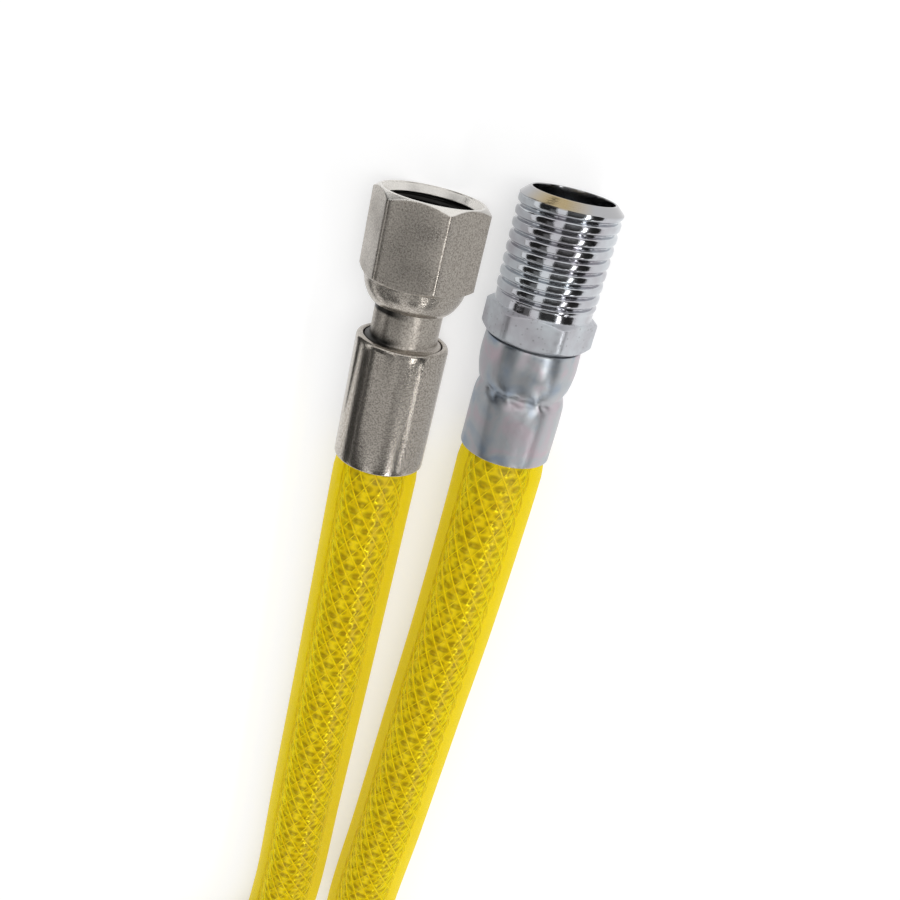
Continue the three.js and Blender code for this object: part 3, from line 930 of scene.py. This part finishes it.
# Light. A white studio: an even surround, one broad lamp above and one strip lamp on the right.
# Round the fittings hang black and pale cards, as in a photographer's tent, which only polished
# metal mirrors. They give the bands on the sleeves and the thread, and light nothing.
world = bpy.data.worlds.new("white studio")
bpy.context.scene.world = world
world.use_nodes = True
world_tree = world.node_tree
surround = world_tree.nodes["Background"]
surround.inputs["Color"].default_value = (1, 1, 1, 1)
strength = world_tree.nodes.new("ShaderNodeMapRange")
strength.inputs["To Min"].default_value = 0.5
strength.inputs["To Max"].default_value = 1.0
world_tree.links.new(seen_directly(world_tree), strength.inputs["Value"])
world_tree.links.new(strength.outputs[0], surround.inputs["Strength"])


def hang_lamp(lamp, place):
    """Hangs a lamp at a place, facing the origin, with the long side of a strip along Y."""
    holder = bpy.data.objects.new(lamp.name, lamp)
    outward = np.array(place) / np.linalg.norm(place)
    right = np.cross([0, 1, 0], outward)
    right /= np.linalg.norm(right)
    stand = np.eye(4)
    stand[:3] = np.stack([right, np.cross(outward, right), outward, place], axis=1)
    holder.matrix_world = Matrix(stand.tolist())
    bpy.context.scene.collection.objects.link(holder)


key_lamp = bpy.data.lights.new("lamp above", "SUN")
key_lamp.energy = 1.15
key_lamp.angle = np.radians(38)
hang_lamp(key_lamp, (0.35, 0.2, 1.0))
strip_lamp = bpy.data.lights.new("strip lamp", "AREA")
strip_lamp.shape = "RECTANGLE"
strip_lamp.size, strip_lamp.size_y = 0.09, 1.4
strip_lamp.energy = 2.4
hang_lamp(strip_lamp, (0.70, -0.35, 0.71))

card_points = 9
cards_hang_at = 80 * mm
flag_radius = 0.5
flag_spans = [(-90, -79), (-63, -22), (0, 39), (50, 80)]


def hang_card(name, across, above, along, glow=0.0):
    """A strip through points of X and Z, carried from one Y to another, which only polished metal
    mirrors. Without a glow it is black."""
    k, y = np.meshgrid(np.arange(card_points), np.linspace(*along, 3), indexing="ij")
    points = np.stack([across[k], y, above[k]], axis=-1).reshape(-1, 3)
    card = quad_mesh(name, points, flat_quads(card_points - 1, 2))
    cloth = bpy.data.materials.new(name)
    cloth.use_nodes = True
    face = cloth.node_tree.nodes["Principled BSDF"]
    face.inputs["Base Color"].default_value = (0.02, 0.019, 0.018, 1)
    face.inputs["Roughness"].default_value = 1.0
    face.inputs["Emission Color"].default_value = (1, 1, 1, 1)
    face.inputs["Emission Strength"].default_value = glow
    card.data.materials.append(cloth)
    card.visible_camera = False
    card.visible_diffuse = False
    card.visible_shadow = False
    card.visible_transmission = False
    return card


for name, (left, right), along, glow in (
    ("card_over_nut", (-36, -12), (-30, 20), 0.15),
    ("card_over_sleeve", (-85, 4), (-65, -18), 0.5),
    ("card_over_ferrule", (4, 36), (-65, -18), 0.33),
    ("card_aside", (36, 139), (-47, -32), 0.08),
    ("card_aside_low", (36, 139), (-78, -47), 0.55),
    ("line_lamp", (143, 158), (-120, -65), 7.0),
    ("card_far_aside", (163, 330), (-200, -85), 0.3),
):
    across = np.linspace(left * mm, right * mm, card_points)
    level = np.full(card_points, cards_hang_at)
    hang_card(name, across, level, np.array(along) * mm, glow)
for name, place, (low, high), along, glow in (
    ("card_beside_sleeve", -50, (20.5, 35), (-55, -14), 0.0),
    ("card_between", 0.6, (0.5, 20), (-36, 32), 0.6),
):
    across = np.full(card_points, place * mm)
    level = np.linspace(low * mm, high * mm, card_points)
    hang_card(name, across, level, np.array(along) * mm, glow)
across = np.linspace(-400 * mm, -45 * mm, card_points)
hang_card("low_card", across, np.full(card_points, 2 * mm), (-35 * mm, 300 * mm))
for first, last in flag_spans:
    turn = np.radians(np.linspace(first, last, card_points))
    across, level = flag_radius * np.sin(turn), flag_radius * np.cos(turn)
    hang_card("flag", across, level, (-1.0, 0.5))
